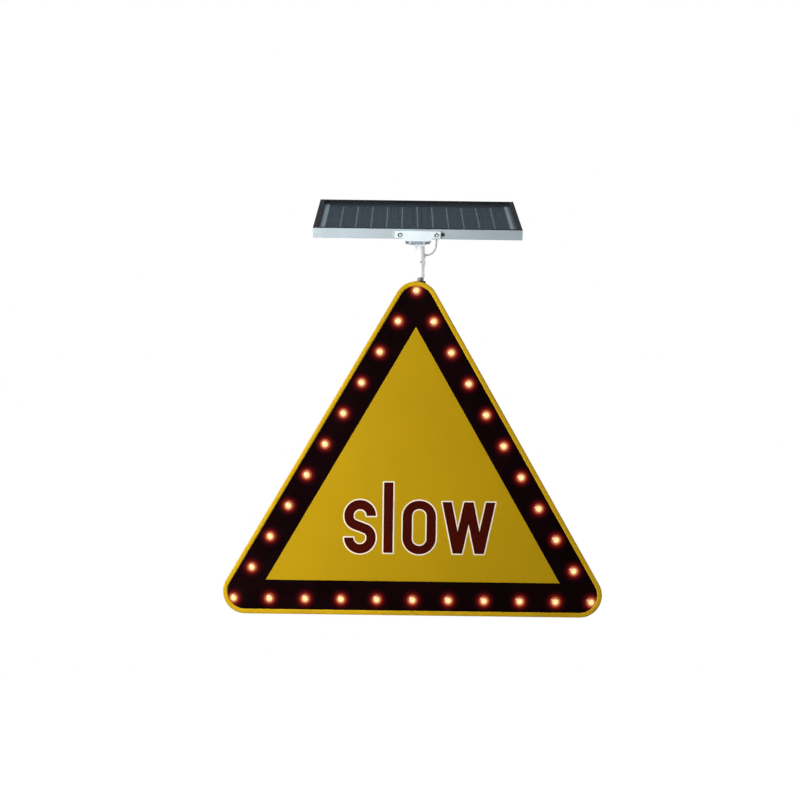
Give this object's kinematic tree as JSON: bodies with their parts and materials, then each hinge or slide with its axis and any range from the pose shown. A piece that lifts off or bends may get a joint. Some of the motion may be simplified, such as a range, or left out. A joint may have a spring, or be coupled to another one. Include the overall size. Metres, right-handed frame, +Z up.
{
  "type": "solar flashing warning sign",
  "caption": "Triangular warning sign lit by small lamps along its border, legend \"slow\", with a tilting solar panel on a bracket above the apex and pole clamps behind.",
  "frame": {"origin": "centre of the lower pole clamp, on the axis of the pole", "axes": "+X to the right of someone reading the sign, -Y out of the sign face towards the reader, +Z up along the pole"},
  "size_m": [0.6444, 0.2603, 0.7245],
  "materials": {
    "yellow_enamel": "glossy yellow enamel",
    "mill_aluminium": "mill finish",
    "yellow_sheet": "reflective sheeting, satin",
    "black_film": "black film, satin",
    "cream_film": "cream film, satin",
    "maroon_film": "dark red film, satin",
    "rivet_aluminium": "bright",
    "lamp_lens": "clear moulded lens",
    "black_plastic": "matte",
    "lamp_emitter": "lit",
    "circuit_board": "solder mask",
    "zinc_steel": "zinc plated",
    "grey_enamel": "grey powder coat",
    "black_rubber": "matte",
    "stainless": "bright",
    "battery_wrap": "shrink sleeve",
    "dark_case": "fine texture",
    "red_button": "glossy",
    "galvanised": "hot-dip galvanised",
    "dark_enamel": "dark grey enamel",
    "cast_grey": "light grey enamel on a casting",
    "white_enamel": "white powder coat",
    "anodised": "clear anodised",
    "white_backsheet": "matte",
    "silicon": "silicon cell",
    "tinned_ribbon": "tinned",
    "clear_glass": "tempered glass",
    "box_black": "fine texture",
    "cable_grey": "grey cable sheath"
  },
  "bodies": {
    "sign": {"apex_block": "mill_aluminium", "back_cover": "grey_enamel", "battery_pack": "battery_wrap", "battery_strap": "zinc_steel", "black_border": "black_film", "blind_rivets": "rivet_aluminium", "block_screws": "stainless", "board_nuts": "zinc_steel", "board_studs": "rivet_aluminium", "clamp_bolts": "zinc_steel", "clamp_hoop_lower": "galvanised", "clamp_hoop_upper": "galvanised", "clamp_nuts": "zinc_steel", "clamp_saddle_lower": "galvanised", "clamp_saddle_upper": "galvanised", "controller_board": "circuit_board", "controller_case": "dark_case", "controller_lid": "dark_case", "cover_gasket": "black_rubber", "cover_screws": "stainless", "edge_frame": "yellow_enamel", "front_panel": "mill_aluminium", "inside_screws": "stainless", "led_boards": "circuit_board", "led_cups": "black_plastic", "led_emitters": "lamp_emitter", "led_lenses": "lamp_lens", "legend_letters": "maroon_film", "legend_outline": "cream_film", "mast": "dark_enamel", "mast_seal": "black_rubber", "mast_set_screw": "zinc_steel", "rail_lower": "mill_aluminium", "rail_upper": "mill_aluminium", "splice_plate": "mill_aluminium", "switch_body": "black_plastic", "switch_nut": "black_plastic", "yellow_sheeting": "yellow_sheet"},
    "bracket": {"bracket_head": "cast_grey", "lock_collar": "cast_grey", "collar_screw": "zinc_steel", "stem_grommet": "cable_grey", "panel_cable": "cable_grey"},
    "panel": {"cradle": "white_enamel", "hinge_bolt": "zinc_steel", "hinge_nut": "zinc_steel", "cradle_screws": "stainless", "panel_rail_front": "anodised", "panel_rail_rear": "anodised", "panel_rail_left": "anodised", "panel_rail_right": "anodised", "corner_keys": "black_plastic", "backsheet": "white_backsheet", "solar_cells": "silicon", "cell_ribbons": "tinned_ribbon", "panel_glass": "clear_glass", "junction_box": "box_black", "junction_lid": "box_black", "cable_gland": "box_black"},
    "button": {"power_button": "red_button"}
  },
  "joints": [
    {"name": "bracket_swivel", "type": "hinge", "parent": "sign", "child": "bracket", "pos_m": [0.007, -0.0797, 0.43822], "axis": [0, 0, 1], "range_deg": [-170, 170]},
    {"name": "panel_tilt", "type": "hinge", "parent": "bracket", "child": "panel", "pos_m": [0, -0.0797, 0.49122], "axis": [1, 0, 0], "range_deg": [-16, 40], "deforming": ["panel_cable"]},
    {"name": "button_press", "type": "slide", "parent": "sign", "child": "button", "axis": [0, -1, 0], "range_m": [0, 0.0015], "stiffness_N_per_m": 800}
  ]
}
